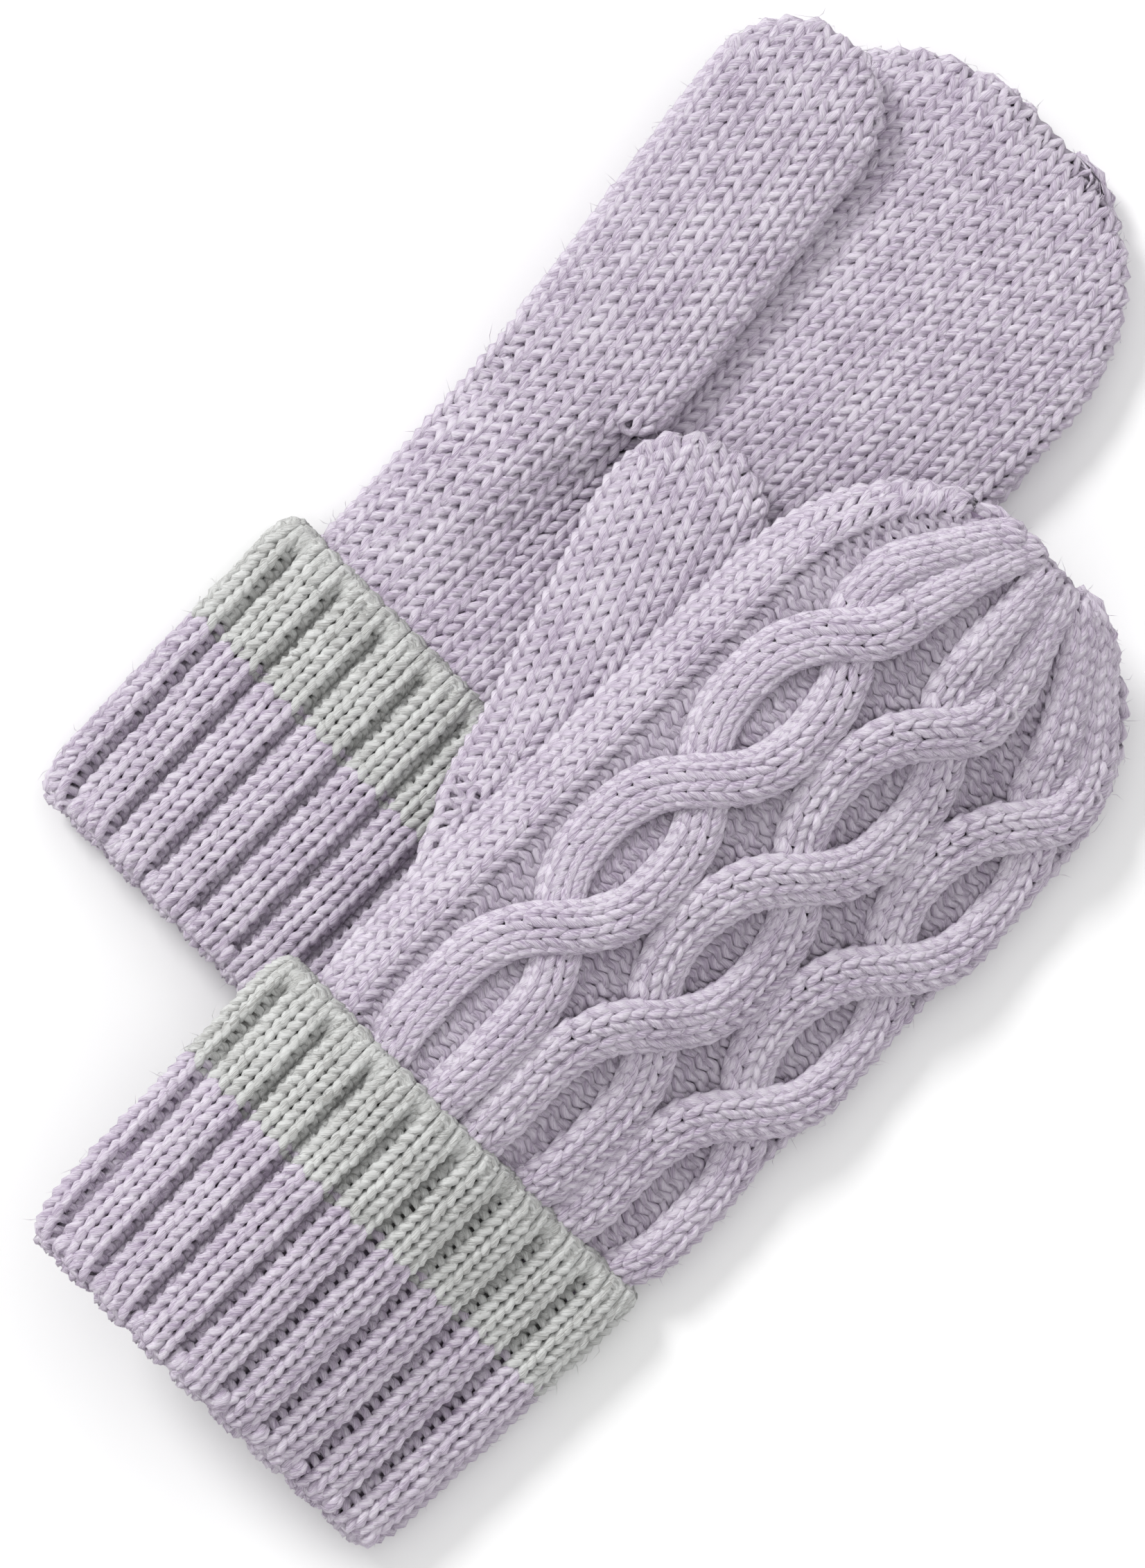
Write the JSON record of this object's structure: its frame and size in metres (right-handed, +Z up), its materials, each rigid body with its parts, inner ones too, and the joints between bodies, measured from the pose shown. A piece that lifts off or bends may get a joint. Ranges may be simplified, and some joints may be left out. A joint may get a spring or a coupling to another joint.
{
  "type": "pair of knitted mittens",
  "caption": "Pair of knitted mittens lying one over the other, one palm up and one cable-knit back up, with folded-back ribbed cuffs and contrast stripes.",
  "frame": {"origin": "on the table under the middle of the pair", "axes": "+Z up from the table, +Y from the cuffs to the fingertips, +X from the left mitten to the right mitten"},
  "size_m": [0.181, 0.3254, 0.0461],
  "materials": {
    "lilac_knit": "fuzzy two-ply wool, pale lilac",
    "grey_knit": "fuzzy two-ply wool, pale warm grey",
    "seam_yarn": "the lilac wool where it is drawn up or picked up"
  },
  "bodies": {
    "left_hand": {"left_palm_panel": "lilac_knit", "left_back_panel": "lilac_knit", "left_thumb_side_seam": "seam_yarn", "left_outer_side_seam": "seam_yarn", "left_tip_gather": "seam_yarn", "left_thumb_gusset": "lilac_knit", "left_thumb_join": "seam_yarn", "left_cuff_lining": "lilac_knit"},
    "left_thumb": {"left_thumb_tube": "lilac_knit", "left_thumb_tip_gather": "seam_yarn"},
    "left_cuff": {"left_cuff_fold": "lilac_knit", "left_cuff_band": "lilac_knit", "left_cuff_stripe": "grey_knit", "left_cuff_edge": "grey_knit"},
    "right_hand": {"right_palm_panel": "lilac_knit", "right_back_panel": "lilac_knit", "right_thumb_side_seam": "seam_yarn", "right_outer_side_seam": "seam_yarn", "right_tip_gather": "seam_yarn", "right_thumb_gusset": "lilac_knit", "right_thumb_join": "seam_yarn", "right_cuff_lining": "lilac_knit"},
    "right_thumb": {"right_thumb_tube": "lilac_knit", "right_thumb_tip_gather": "seam_yarn"},
    "right_cuff": {"right_cuff_fold": "lilac_knit", "right_cuff_band": "lilac_knit", "right_cuff_stripe": "grey_knit", "right_cuff_edge": "grey_knit"}
  },
  "joints": [
    {"name": "left_thumb_spread", "type": "hinge", "parent": "left_hand", "child": "left_thumb", "pos_m": [-0.06133, 0.05485, 0.01924], "axis": [0, 0, 1], "range_deg": [0, 30]},
    {"name": "left_cuff_slide", "type": "slide", "parent": "left_hand", "child": "left_cuff", "axis": [0, -1, 0], "range_m": [0, 0.012]},
    {"name": "pair_lift", "type": "slide", "parent": "left_hand", "child": "right_hand", "axis": [0, 0, 1], "range_m": [0, 0.12]},
    {"name": "right_thumb_spread", "type": "hinge", "parent": "right_hand", "child": "right_thumb", "pos_m": [-0.00383, -0.01965, 0.0266], "axis": [0, 0, 1], "range_deg": [-15, 0]},
    {"name": "right_cuff_slide", "type": "slide", "parent": "right_hand", "child": "right_cuff", "axis": [0, -1, 0], "range_m": [0, 0.012]}
  ]
}
